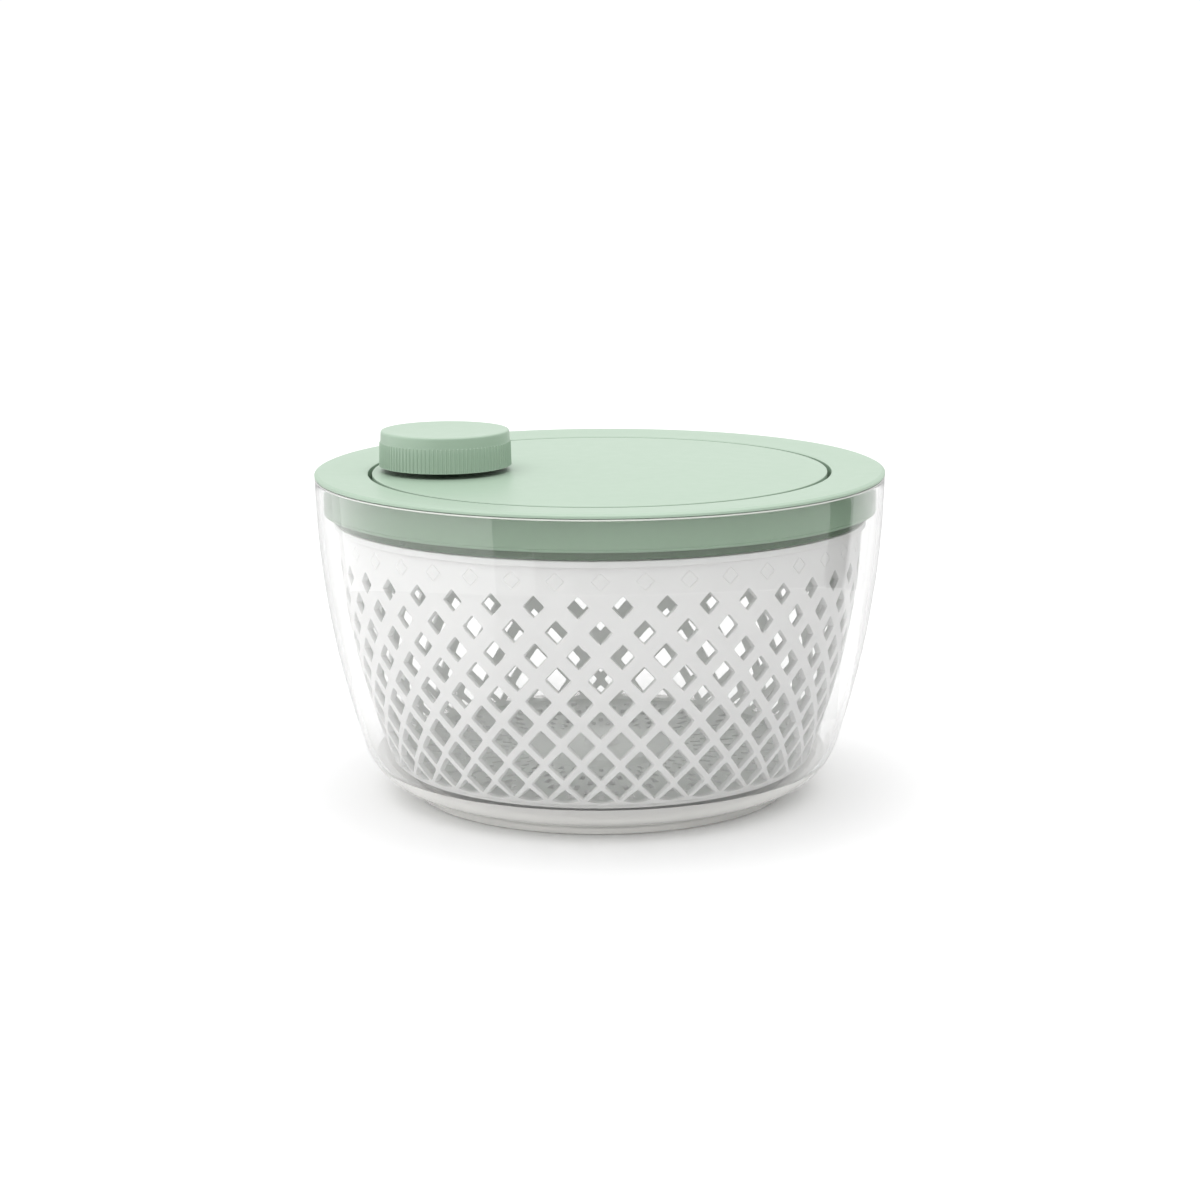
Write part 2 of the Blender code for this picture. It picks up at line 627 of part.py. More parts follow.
def main():
    clear_scene()
    parts = new_collection("salad_spinner")
    cutters = new_collection("cutters")
    make_bowl(parts)
    basket_axis = pivot("basket_axis", parts)
    make_basket(parts, cutters, basket_axis)
    make_pivot_bush(parts, None)
    lid = pivot("lid_axis", parts)
    make_lid_cover(parts, cutters, lid)
    make_lid_housing(parts, cutters, lid)
    make_lid_screws(parts, lid)
    make_glide_ring(parts, lid)
    make_shaft_bush(parts, lid)
    make_planet_pins(parts, lid)
    make_planets(parts)
    make_drive(parts, cutters)
    table = pivot("turntable_axis", parts)
    make_turntable(parts, cutters, table)
    make_ring_gear(parts, cutters, table)
    make_ring_screws(parts, table)
    make_knob_axle(parts, cutters, table)
    make_knob_retainer(parts, table)
    knob = pivot("knob_axis", parts, KNOB_X)
    make_knob_cap(parts, knob)
    make_knob_base(parts, knob)


main()
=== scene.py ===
"""Salad spinner: the finished look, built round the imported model.

Every visible shell is rebuilt here with rounded edges, the knob's ribs, the basket's full
lattice and its slotted floor. The hidden pieces keep their CAD solids with better materials.
Metres, +Z up, in the model's own frame.
"""

import json
from math import cos, pi, radians, sin, tan

import bmesh
import bpy
from mathutils import Matrix, Vector

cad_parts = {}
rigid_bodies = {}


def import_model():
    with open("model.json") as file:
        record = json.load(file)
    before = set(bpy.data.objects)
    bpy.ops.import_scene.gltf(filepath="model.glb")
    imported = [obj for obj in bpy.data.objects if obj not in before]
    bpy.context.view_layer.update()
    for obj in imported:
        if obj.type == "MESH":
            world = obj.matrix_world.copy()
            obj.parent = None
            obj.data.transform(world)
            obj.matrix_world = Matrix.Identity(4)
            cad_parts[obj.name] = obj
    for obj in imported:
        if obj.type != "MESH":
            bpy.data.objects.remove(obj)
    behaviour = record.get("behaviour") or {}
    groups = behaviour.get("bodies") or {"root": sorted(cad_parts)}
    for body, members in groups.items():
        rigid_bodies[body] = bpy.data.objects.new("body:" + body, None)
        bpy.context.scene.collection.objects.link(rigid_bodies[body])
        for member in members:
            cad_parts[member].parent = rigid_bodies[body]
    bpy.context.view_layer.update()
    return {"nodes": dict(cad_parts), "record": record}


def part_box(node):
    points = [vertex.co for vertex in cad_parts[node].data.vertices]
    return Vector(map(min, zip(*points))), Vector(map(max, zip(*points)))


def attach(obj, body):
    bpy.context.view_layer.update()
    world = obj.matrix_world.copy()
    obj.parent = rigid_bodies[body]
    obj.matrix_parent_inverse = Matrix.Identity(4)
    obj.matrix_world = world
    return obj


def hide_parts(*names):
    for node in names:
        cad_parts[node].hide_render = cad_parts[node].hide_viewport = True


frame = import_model()

MM = 0.001
MERGE = 0.004 * MM
SHARP = radians(32)
FRONT = -pi / 2

# Steps round a turned piece: hidden ones, and those whose outline shows
ROUND = 160
FINE_ROUND = 240

# Heights and radii that several pieces share, taken from the frame
LID_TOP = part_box("lid_cover")[1][2]
LID_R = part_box("lid_cover")[1][0]
FLANGE_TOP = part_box("basket")[1][2]
FLANGE_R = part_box("basket")[1][0]
DISC_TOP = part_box("turntable")[1][2]
DISC_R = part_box("turntable")[1][0]
KNOB_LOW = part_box("knob_cap")[0][2]
KNOB_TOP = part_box("knob_cap")[1][2]
KNOB_X = (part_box("knob_cap")[0][0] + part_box("knob_cap")[1][0]) / 2
KNOB_R = (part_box("knob_cap")[1][0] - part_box("knob_cap")[0][0]) / 2
PLATE_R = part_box("drive_plate")[1][0]
HOUSING_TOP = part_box("lid_housing")[1][2]
SKIRT_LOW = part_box("lid_housing")[0][2]
SKIRT_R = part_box("lid_housing")[1][0]

# Bowl: its wall and its lip's radius in mm
BOWL_WALL = 2.4
BOWL_LIP_R = 124.87

# Matt parts of the bowl: the outside of its lower corner, its foot and its lip
MATT_BELOW = 16.1 * MM
MATT_FOOT_R = 79 * MM
MATT_LIP = 140.6 * MM

# Lattice of the basket's wall. Its radii are (height, outer radius) in mm
WALL_RADII = ((5, 88.85), (45, 103.2), (85, 112.2), (125, 114.85))
COLUMNS = 40
OPEN_ROWS = 9
WALL = 2.4 * MM
CORNER_SHARE = 0.12
SCALLOP_RISE = 0.38 * MM
SCALLOP_OUT = 0.25 * MM
BASKET_LOW = 15.3 * MM
FLANGE_LOW = 120.4 * MM
BAND_LOW = 119.4 * MM
GROOVE_SIZE = 3.95 * MM
GROOVE_WIDTH = 0.62 * MM
GROOVE_DEPTH = 0.3 * MM

# Floor of the basket. The slots are cut by boxes 9 mm deep, in rings of (radius, length,
# width) in mm
FLOOR_TOP = 16.0 * MM
SLOT_CUT = 9
SLOT_RINGS = ((38, 4.6, 1.8), (43.8, 4.6, 2.0), (50.5, 6.4, 2.2), (58.5, 6.8, 2.4),
              (66.5, 6.8, 2.6), (74.5, 6.8, 2.8), (82, 5.6, 2.8))

# Lugs of the drive plate, each between a pair of the basket's ribs
LUGS = 4

# Lid: the heights of the cover's lower edge and of the well's floor in mm
COVER_LOW = 131.3
WELL_TOP = 137.4

# Circles that the screws and the planets' pins stand on
LID_SCREWS_R = 111.5 * MM
RING_SCREWS_R = 58.6 * MM
PINS_R = 36 * MM

# Knob. A rib's half width is a share of the pitch
RIBS = 98
RIB_HALF = 0.24
RIB_HEIGHT = 0.42 * MM
RIB_LOW = 0.2 * MM
RIB_TOP = 10.8 * MM
RIB_FADE = 0.4 * MM

# Camera: where it stands, how far it looks down, its roll and its focal length in mm
EYE = (-0.00015, -1.13469, 0.31622)
LOOK_DOWN = 0.20235
ROLL = -0.00505
FOCAL_LENGTH = 78.2

# Studio: how far out and how high the panels stand, in metres
PANEL_R = 0.40
PANEL_HIGH = 0.5
FLAG_HIGH = 0.3
PANEL_CORNER = 0.012
PANEL_STEPS = 24
PANEL_LIFT = 0.5 * MM
TABLE_RINGS = 4
TABLE_STEP = 0.06
FLOOR_HALF = 30
FLOOR_DROP = 0.1 * MM

# Upright panels: name, first and last angle, lower and upper edge, brightness
PANELS = (("soft_box", -110, -35.8, 0, PANEL_HIGH, 2.0),
          ("flag_front", -21.7, 18.6, 0.002, FLAG_HIGH, 0.25),
          ("flag_right", 18.6, 40.4, 0.002, FLAG_HIGH, 0.2),
          ("flag_far_right", 40.4, 90.6, 0.002, FLAG_HIGH, 0.12),
          ("flag_beyond", 104.9, 124, 0, PANEL_HIGH, 0.7))

# Panels over the table's edge: name, first and last angle, brightness at the outside
TABLE = (("front", -35.8, 104.9, 0.4), ("left", -150, -118, 0.85), ("right", 124, 150, 0.85))


# Mesh helpers


def piece(name, verts, faces):
    """A mesh object in the scene, with its faces turned outward."""
    mesh = bpy.data.meshes.new(name)
    mesh.from_pydata(verts, [], faces)
    tidy(mesh)
    thing = bpy.data.objects.new(name, mesh)
    bpy.context.scene.collection.objects.link(thing)
    shade(mesh)
    return thing


def tidy(mesh):
    """Merges points that meet, and turns every face outward."""
    work = bmesh.new()
    work.from_mesh(mesh)
    bmesh.ops.remove_doubles(work, verts=work.verts, dist=MERGE)
    bmesh.ops.dissolve_degenerate(work, edges=work.edges, dist=MERGE)
    bmesh.ops.recalc_face_normals(work, faces=work.faces)
    work.to_mesh(mesh)
    work.free()


def shade(mesh):
    mesh.shade_smooth()
    mesh.set_sharp_from_angle(angle=SHARP)


def rounded(corners, points=5, closed=False):
    """A profile with rounded corners. Each corner is (radius, height, fillet), in mm."""
    path = []
    count = len(corners)
    for i, (radius, height, fillet) in enumerate(corners):
        here = Vector((radius, height)) * MM
        if fillet == 0 or (not closed and i in (0, count - 1)):
            path.append(here)
            continue
        before = Vector(corners[i - 1][:2]) * MM - here
        after = Vector(corners[(i + 1) % count][:2]) * MM - here
        reach = fillet * MM / tan(before.angle(after) / 2)
        reach = min(reach, before.length * 0.49, after.length * 0.49)
        start = here + before.normalized() * reach
        end = here + after.normalized() * reach
        for k in range(points + 1):
            t = k / points
            path.append(start * (1 - t) ** 2 + here * 2 * t * (1 - t) + end * t * t)
    return [(point.x, point.y) for point in path]


def turned(name, profile, steps=ROUND, closed=False, centre=(0, 0), shape=None, angles=None):
    """A solid turned round the axis or a centre. shape(angle, radius, height) may move a radius."""
    angles = angles or [2 * pi * k / steps for k in range(steps)]
    steps = len(angles)
    verts, faces, rings = [], [], []
    for radius, height in profile:
        if radius < MERGE:
            rings.append([len(verts)])
            verts.append((centre[0], centre[1], height))
            continue
        ring = []
        for angle in angles:
            out = shape(angle, radius, height) if shape else radius
            ring.append(len(verts))
            verts.append((centre[0] + out * cos(angle), centre[1] + out * sin(angle), height))
        rings.append(ring)
    pairs = list(zip(rings, rings[1:]))
    if closed:
        pairs.append((rings[-1], rings[0]))
    for upper, lower in pairs:
        for k in range(steps):
            n = (k + 1) % steps
            if len(upper) == 1:
                faces.append((upper[0], lower[k], lower[n]))
            elif len(lower) == 1:
                faces.append((upper[k], lower[0], upper[n]))
            else:
                faces.append((upper[k], lower[k], lower[n], upper[n]))
    return piece(name, verts, faces)


def on_circle(radius, count, start_degrees=0):
    """Places spaced evenly on a circle: (angle, x, y) each."""
    for number in range(count):
        angle = radians(start_degrees) + 2 * pi * number / count
        yield angle, radius * cos(angle), radius * sin(angle)


def rods(name, places, sides=24):
    """Upright cylinders in one mesh: (radius, low, high, x, y) each."""
    mesh = bpy.data.meshes.new(name)
    work = bmesh.new()
    for radius, low, high, x, y in places:
        middle = Matrix.Translation((x, y, (low + high) / 2))
        bmesh.ops.create_cone(work, cap_ends=True, segments=sides, radius1=radius,
                              radius2=radius, depth=high - low, matrix=middle)
    work.to_mesh(mesh)
    work.free()
    return bpy.data.objects.new(name, mesh)


def boxes(name, places):
    """Boxes in one mesh: (size, matrix) each."""
    mesh = bpy.data.meshes.new(name)
    work = bmesh.new()
    for size, matrix in places:
        bmesh.ops.create_cube(work, size=1, matrix=matrix @ Matrix.Diagonal((*size, 1)))
    work.to_mesh(mesh)
    work.free()
    return bpy.data.objects.new(name, mesh)


def combine(thing, tool, operation):
    """Cuts or joins a tool, and keeps only the result."""
    scene_objects = bpy.context.scene.collection.objects
    if tool.name not in scene_objects:
        scene_objects.link(tool)
    change = thing.modifiers.new(tool.name, "BOOLEAN")
    change.operation = operation
    change.solver = "EXACT"
    change.object = tool
    view = bpy.context.evaluated_depsgraph_get()
    mesh = bpy.data.meshes.new_from_object(thing.evaluated_get(view))
    thing.modifiers.clear()
    thing.data = mesh
    bpy.data.objects.remove(tool)
    tidy(mesh)
    shade(mesh)


def absorb(thing, *others):
    """Joins other meshes into one piece, each a closed shell of its own."""
    work = bmesh.new()
    work.from_mesh(thing.data)
    for other in others:
        work.from_mesh(other.data)
        bpy.data.objects.remove(other)
    work.to_mesh(thing.data)
    work.free()
    shade(thing.data)


def finish_piece(thing, material, body, slot, *nodes):
    thing.data.materials.clear()
    thing.data.materials.append(material)
    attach(thing, body)
    if nodes:
        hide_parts(*nodes)
    return thing


# Materials


def new_material(name, colour, roughness, **sockets):
    material = bpy.data.materials.new(name)
    material.use_nodes = True
    shader = material.node_tree.nodes["Principled BSDF"]
    shader.inputs["Base Color"].default_value = (*colour, 1)
    shader.inputs["Roughness"].default_value = roughness
    for socket, value in sockets.items():
        shader.inputs[socket.replace("_", " ")].default_value = value
    return material


def add_noise(tree, scale, detail=2.0):
    place = tree.nodes.new("ShaderNodeTexCoord")
    noise = tree.nodes.new("ShaderNodeTexNoise")
    noise.inputs["Scale"].default_value = scale
    noise.inputs["Detail"].default_value = detail
    tree.links.new(place.outputs["Object"], noise.inputs["Vector"])
    return noise.outputs["Fac"]


def add_range(tree, value, low, high):
    change = tree.nodes.new("ShaderNodeMapRange")
    change.inputs["To Min"].default_value = low
    change.inputs["To Max"].default_value = high
    tree.links.new(value, change.inputs["Value"])
    return change.outputs["Result"]


def add_relief(tree, height, strength, distance):
    relief = tree.nodes.new("ShaderNodeBump")
    relief.inputs["Strength"].default_value = strength
    relief.inputs["Distance"].default_value = distance
    tree.links.new(height, relief.inputs["Height"])
    tree.links.new(relief.outputs["Normal"], tree.nodes["Principled BSDF"].inputs["Normal"])


def moulded(name, colour, shift, roughness, grain=2400, bump=0.05):
    """Moulded plastic: faint drifts of colour, uneven gloss and a fine spark-eroded grain."""
    material = new_material(name, colour, roughness)
    tree = material.node_tree
    shader = tree.nodes["Principled BSDF"]
    drift = add_noise(tree, 22, 3)
    mix = tree.nodes.new("ShaderNodeMix")
    mix.data_type = "RGBA"
    mix.inputs["A"].default_value = (*[c * (1 - shift) for c in colour], 1)
    mix.inputs["B"].default_value = (*[min(1, c * (1 + shift)) for c in colour], 1)
    tree.links.new(drift, mix.inputs["Factor"])
    tree.links.new(mix.outputs["Result"], shader.inputs["Base Color"])
    gloss = add_range(tree, add_noise(tree, 160, 4), roughness * 0.88, roughness * 1.14)
    tree.links.new(gloss, shader.inputs["Roughness"])
    add_relief(tree, add_noise(tree, grain, 3), bump, 0.08 * MM)
    return material


def clear_plastic(name, colour, roughness, share):
    """Clear styrene with a faint uneven haze. Lamps shine through its shadow."""
    material = new_material(name, colour, roughness, IOR=1.49, Transmission_Weight=share)
    tree = material.node_tree
    shader = tree.nodes["Principled BSDF"]
    haze = add_range(tree, add_noise(tree, 420, 4), roughness * 0.4, roughness * 1.8)
    tree.links.new(haze, shader.inputs["Roughness"])
    add_relief(tree, add_noise(tree, 260, 2), 0.02, 0.02 * MM)
    pass_light = tree.nodes.new("ShaderNodeBsdfTransparent")
    pass_light.inputs["Color"].default_value = (0.95, 0.955, 0.95, 1)
    rays = tree.nodes.new("ShaderNodeLightPath")
    mix = tree.nodes.new("ShaderNodeMixShader")
    output = tree.nodes["Material Output"]
    tree.links.new(rays.outputs["Is Shadow Ray"], mix.inputs[0])
    tree.links.new(shader.outputs[0], mix.inputs[1])
    tree.links.new(pass_light.outputs[0], mix.inputs[2])
    tree.links.new(mix.outputs[0], output.inputs["Surface"])
    return material


def plated_steel():
    """Zinc-plated steel with uneven gloss and a fine grain."""
    material = new_material("plated_steel", (0.6, 0.6, 0.62), 0.28, Metallic=1)
    tree = material.node_tree
    shader = tree.nodes["Principled BSDF"]
    gloss = add_range(tree, add_noise(tree, 900, 5), 0.2, 0.4)
    tree.links.new(gloss, shader.inputs["Roughness"])
    add_relief(tree, add_noise(tree, 3500, 2), 0.12, 0.05 * MM)
    return material


# Bowl


def bowl_side():
    """The outer side from the lip down, then one quadratic curve round the lower corner."""
    side = []
    for height in (139.8, 136, 132, 126, 120, 112, 104, 96, 88, 80, 72, 64, 56, 48, 40, 32, 27):
        drop = 140 - height
        side.append(Vector((BOWL_LIP_R - 0.0115 * drop - 0.0013 * drop * drop, height)))
    start, middle, end = Vector((106.05, 24)), Vector((101.2, 8.3)), Vector((87.6, 4.9))
    steps = 14
    for k in range(steps + 1):
        t = k / steps
        side.append(start * (1 - t) ** 2 + middle * 2 * t * (1 - t) + end * t * t)
    return side


def inward(path, distance):
    """The same line, moved square to itself towards the axis."""
    moved = []
    for i, point in enumerate(path):
        along = path[min(i + 1, len(path) - 1)] - path[max(i - 1, 0)]
        square = Vector((along.y, -along.x)).normalized()
        moved.append(point + square * distance)
    return moved


def is_matt(face):
    """Whether a face of the bowl takes the slightly milky material."""
    radius = (face.center.x ** 2 + face.center.y ** 2) ** 0.5
    outside = face.normal.z < 0.2 and radius > MATT_FOOT_R
    return face.center.z > MATT_LIP or (face.center.z < MATT_BELOW and outside)


def make_bowl(material, matt):
    """The bowl with its foot and the post for the basket, turned from one closed outline."""
    outer = bowl_side()
    inner = inward(outer, BOWL_WALL)[:-2]
    lip_in, lip_top = 122.5, 141.2
    lip = rounded(((lip_in, 139.6, 0), (lip_in, lip_top, 0.6), (BOWL_LIP_R, lip_top, 0.8),
                   (BOWL_LIP_R, 139.9, 0)))
    post = rounded(((0, 17.2, 0), (3.8, 17.2, 0.5), (3.8, 9.4, 0.5), (9, 9.2, 0.8),
                    (15, 5.6, 3), (30, 5.6, 0)))
    floor = [(radius * MM, height * MM) for radius, height in
             ((60, 5.6), (74, 5.65), (80, 5.9), (84.5, 6.5))]
    foot = rounded(((87.6, 4.9, 0), (84.8, 4.5, 1.2), (83.5, 0, 0.9), (80.6, 0, 0.6),
                    (79.8, 2.8, 0.8), (16, 2.8, 2), (6, 5.2, 1), (0, 5.2, 0)))
    walls = [[(point.x * MM, point.y * MM) for point in line] for line in (inner, outer)]
    profile = post + floor + walls[0][::-1] + lip[1:-1] + walls[1] + foot[1:]
    bowl = turned("bowl_clear", profile, FINE_ROUND)
    finish_piece(bowl, material, "bowl_body", "clear_plastic", "bowl")
    bowl.data.materials.append(matt)
    for face in bowl.data.polygons:
        face.material_index = int(is_matt(face))
    return bowl


# Basket


def row_height(row):
    """The middle height of a row of diamonds. The rows close up towards the floor."""
    return (114.4 - 10.8 * row + 0.098 * row * row) * MM


def wall_radius(height):
    """The wall's outer radius at a height: the cubic through the four in WALL_RADII."""
    total = 0
    for at, radius in WALL_RADII:
        weight = 1
        for other, _ in WALL_RADII:
            if other != at:
                weight *= (height / MM - other) / (at - other)
        total += radius * weight
    return total * MM


class Wall:
    """Collects the lattice's points and faces. Points that meet are merged at the end."""

    def __init__(self):
        self.verts = []
        self.faces = []

    def add(self, angle, radius, height):
        self.verts.append((radius * cos(angle), radius * sin(angle), height))
        return len(self.verts) - 1

    def point(self, angle, height, depth):
        return self.add(angle, wall_radius(height) - depth, height)

    def join(self, rings):
        """Faces between each ring of points and the next."""
        for first, second in zip(rings, rings[1:]):
            for k in range(len(first)):
                n = (k + 1) % len(first)
                self.faces.append((first[k], first[n], second[n], second[k]))


def outline(scale_u, scale_v, pull):
    """Sixteen points of a diamond with softened corners, as shares of the full cell."""
    corners = ((1, 0), (0, 1), (-1, 0), (0, -1))
    points = []
    for k in range(4):
        (au, av), (bu, bv) = corners[k], corners[(k + 1) % 4]
        for t in (0, CORNER_SHARE, 0.5, 1 - CORNER_SHARE):
            keep = 1 - pull if t == 0 else 1
            u = (au + (bu - au) * t) * keep
            v = (av + (bv - av) * t) * keep
            points.append((u * scale_u, v * scale_v))
    return points


def layers(row):
    """(width share, height share, depth, corner pull) of a hole's rings, outside to inside."""
    width = 0.475 + 0.043 * row
    height = 0.42 + 0.0515 * row - 0.0010 * row * row
    bevel = 0.020 + 0.007 * row
    deep = (0.35 + 0.10 * row) * MM
    return ((width, height, 0, 0.05),
            (width - bevel, height - bevel, deep, 0.04),
            (width - bevel - 0.015, height - bevel - 0.015, WALL - 0.25 * MM, 0.04),
            (width - bevel + 0.005, height - bevel + 0.005, WALL, 0.04))


def cell_point(wall, row, angle, u, v, depth):
    """A point of a cell. u and v run from -1 to 1 across and up it, as far as its neighbours."""
    half = pi / COLUMNS
    middle = row_height(row)
    reach = row_height(row - 1) - middle if v > 0 else middle - row_height(row + 1)
    return wall.point(angle + u * half, middle + v * reach, depth)


def add_cell(wall, row, angle):
    """One full diamond of the wall, with its bevelled hole."""
    rings = [[cell_point(wall, row, angle, u, v, 0) for u, v in outline(1, 1, 0)]]
    for width, height, depth, pull in layers(row):
        rings.append([cell_point(wall, row, angle, u, v, depth)
                      for u, v in outline(width, height, pull)])
    rings.append([cell_point(wall, row, angle, u, v, WALL) for u, v in outline(1, 1, 0)])
    wall.join(rings)


def house_outline():
    """A blind cell's edge: the lower half of a diamond under a plain rectangle."""
    roof = (BAND_LOW - row_height(0)) / (row_height(-1) - row_height(0))
    upper = ((1, 0), (1, roof / 2), (1, roof), (0.5, roof), (0, roof),
             (-0.5, roof), (-1, roof), (-1, roof / 2))
    return list(upper) + outline(1, 1, 0)[8:]


def add_blind_cell(wall, angle):
    """A closed cell of the top row, with a fine diamond groove in its outer face."""
    middle = row_height(0)

    def diamond(size, depth):
        reach = wall_radius(middle)
        return [wall.point(angle + u * size / reach, middle + v * size, depth)
                for u, v in outline(1, 1, 0.06)]

    def edge(depth):
        return [cell_point(wall, 0, angle, u, v, depth) for u, v in house_outline()]

    outside = [edge(0)] + [diamond(GROOVE_SIZE - share * GROOVE_WIDTH, depth)
                           for share, depth in ((0, 0), (0.4, GROOVE_DEPTH),
                                                (0.6, GROOVE_DEPTH), (1, 0))]
    inside = [edge(WALL), diamond(GROOVE_SIZE, WALL)]
    for rings in (outside, inside):
        wall.join(rings)
        wall.faces.append(tuple(rings[-1]))


def half_outline(width, height, base, sag, pull):
    """Twelve points of an upper half diamond whose lower edge sags in a curve."""
    points = []
    corners = ((-1, 0), (0, 1), (1, 0))
    for k in range(2):
        (au, av), (bu, bv) = corners[k], corners[k + 1]
        for t in (0, CORNER_SHARE, 0.5, 1 - CORNER_SHARE):
            u, v = au + (bu - au) * t, av + (bv - av) * t
            keep = 1 - pull if (k, t) == (1, 0) else 1
            points.append((u * width * keep, max(base, 0) + v * (height - base) * keep))
    points += [(width, base), (0.5 * width, base - 0.8 * sag), (0, base - sag),
               (-0.5 * width, base - 0.8 * sag)]
    return points


def add_bottom_half(wall, angle):
    """One half diamond above the bottom ring, with its three-sided hole."""
    row = OPEN_ROWS + 1
    sag, pull = 0.11, 0.04
    whole = half_outline(1, 1, 0, 0, 0)
    rings = [[cell_point(wall, row, angle, u, v, 0) for u, v in whole]]
    steps = ((0.78, 0.82, 0.19, 0), (0.67, 0.72, 0.23, 1.3 * MM),
             (0.65, 0.70, 0.24, WALL - 0.2 * MM), (0.66, 0.71, 0.24, WALL))
    for width, height, base, depth in steps:
        rings.append([cell_point(wall, row, angle, u, v, depth)
                      for u, v in half_outline(width, height, base, sag, pull)])
    rings.append([cell_point(wall, row, angle, u, v, WALL) for u, v in whole])
    wall.join(rings)


def band_angles():
    """Four angles to a column, so that the bands meet the lattice point to point."""
    count = COLUMNS * 4
    return [2 * pi * k / count + FRONT for k in range(count)]


def add_top_band(wall):
    """The plain band above the lattice, and the flange round the mouth."""
    flange, under, top = FLANGE_R / MM, FLANGE_LOW / MM, FLANGE_TOP / MM
    wall_out = wall_radius(FLANGE_LOW) / MM
    corners = ((wall_radius(BAND_LOW) / MM, BAND_LOW / MM, 0), (wall_out, under, 0.3),
               (flange, under, 0.35), (flange, top, 0.7), (wall_out - WALL / MM, top, 0.5),
               ((wall_radius(BAND_LOW) - WALL) / MM, BAND_LOW / MM, 0))
    wall.join([[wall.add(angle, radius, height) for angle in band_angles()]
               for radius, height in rounded(corners, 4)])


def add_bottom_band(wall):
    """The ring below the lattice. Its lower edge is scalloped between the bars' feet."""
    top = row_height(OPEN_ROWS + 1)
    low = BASKET_LOW
    outside = wall_radius(top)
    path = ((outside, top, 0), (outside - 0.35 * MM, low + 0.9 * MM, 0.15),
            (outside - 0.75 * MM, low + 0.45 * MM, 1), (outside - 1.3 * MM, low, 1),
            (outside - WALL - 1.5 * MM, low, 0.4), (outside - WALL, top, 0))
    rings = []
    for radius, height, share in path:
        ring = []
        for k, angle in enumerate(band_angles()):
            foot = (0, 0.35, 1, 0.35)[k % 4]
            out = radius + foot * share * SCALLOP_OUT
            ring.append(wall.add(angle, out, height + share * SCALLOP_RISE * (1 - foot)))
        rings.append(ring)
    wall.join(rings)


def make_lattice():
    """The whole wall: a blind row, the open rows and the bottom halves, between two bands."""
    wall = Wall()
    pitch = 2 * pi / COLUMNS
    for column in range(COLUMNS):
        angle = column * pitch + FRONT
        add_blind_cell(wall, angle)
        for row in range(1, OPEN_ROWS + 1):
            add_cell(wall, row, angle + 0.5 * pitch * (row % 2))
        add_bottom_half(wall, angle + 0.5 * pitch * ((OPEN_ROWS + 1) % 2))
    add_top_band(wall)
    add_bottom_band(wall)
    return piece("basket_lattice", wall.verts, wall.faces)


def make_basket_floor():
    """The slotted floor with its raised middle and the hub that the pivot runs in."""
    rim = (wall_radius(15 * MM) - WALL / 2) / MM
    top = FLOOR_TOP / MM
    under = top - 1.8
    raised_top, raised_under, hub_top, hub_under = 18.4, 16.4, 23.6, 21
    corners = ((0, hub_top, 0), (6.8, hub_top, 1.2), (7.2, raised_top, 1.5),
               (30.5, raised_top, 1.5), (33.2, top, 1.2), (rim, top, 0.2), (rim, under, 0.2),
               (32.2, under, 1), (29.8, raised_under, 1), (5.6, raised_under, 0.4),
               (5.5, hub_under, 0.4), (0, hub_under, 0))
    floor = turned("basket_floor", rounded(corners, 3))
    slots = []
    for ring, (radius, length, width) in enumerate(SLOT_RINGS):
        for angle, x, y in on_circle(radius * MM, COLUMNS, 180 / COLUMNS * (ring % 2)):
            aim = Matrix.Translation((x, y, FLOOR_TOP)) @ Matrix.Rotation(angle, 4, "Z")
            slots.append((tuple(side * MM for side in (length, width, SLOT_CUT)), aim))
    combine(floor, boxes("slots", slots), "DIFFERENCE")
    return floor


def make_drive_ribs():
    """Pairs of ribs inside the rim. The drive plate's lugs push against them."""
    inner = wall_radius(121 * MM) - WALL
    size = Vector((4, 2, 4)) * MM
    places = []
    for angle, _, _ in on_circle(1, LUGS):
        for side in (-1, 1):
            spin = Matrix.Rotation(angle + side * radians(4.5), 4, "Z")
            places.append((size, spin @ Matrix.Translation((inner - 1.2 * MM, 0, 120.5 * MM))))
    ribs = boxes("basket_ribs", places)
    bpy.context.scene.collection.objects.link(ribs)
    return ribs


def make_basket(material):
    basket = make_lattice()
    absorb(basket, make_basket_floor(), make_drive_ribs())
    return finish_piece(basket, material, "basket_body", "white_plastic", "basket")


# Lid


def lid_screw_places():
    return on_circle(LID_SCREWS_R, 6, 30)


def make_lid_rim(material):
    """The rim ring, dished slightly towards the turntable, with its well and screw bosses."""
    top, edge, under = LID_TOP / MM, LID_R / MM, 141.5
    wall_in, wall_out, well_hole, well_under = 96.9, 103.3, 62.8, 135.6
    channel_in, channel_out, channel_low = 98.4, 101.6, 132.6
    corners = ((wall_out, under, 0.6), (123.0, under, 0.2), (edge - 0.15, under, 0.25),
               (edge, 142.5, 0.8), (123.4, top, 1.0), (117, 143.05, 4), (109, 142.55, 5),
               (103.5, 142.3, 2), (channel_out, 142.1, 0.4), (channel_out, channel_low, 0.8),
               (channel_in, channel_low, 0.8), (channel_in, WELL_TOP, 0.5),
               (well_hole, WELL_TOP, 0.5), (well_hole, well_under, 0.4),
               (wall_in, well_under, 0.8), (wall_in, COVER_LOW, 0.8), (wall_out, COVER_LOW, 0.8))
    cover = turned("lid_rim", rounded(corners, closed=True), FINE_ROUND, closed=True)
    bosses = [(4 * MM, COVER_LOW * MM, 141.9 * MM, x, y) for _, x, y in lid_screw_places()]
    pilots = [(1.6 * MM, 130 * MM, 138.3 * MM, x, y) for _, x, y in lid_screw_places()]
    combine(cover, rods("bosses", bosses), "UNION")
    combine(cover, rods("pilots", pilots), "DIFFERENCE")
    return finish_piece(cover, material, "lid_body", "green_plastic", "lid_cover")


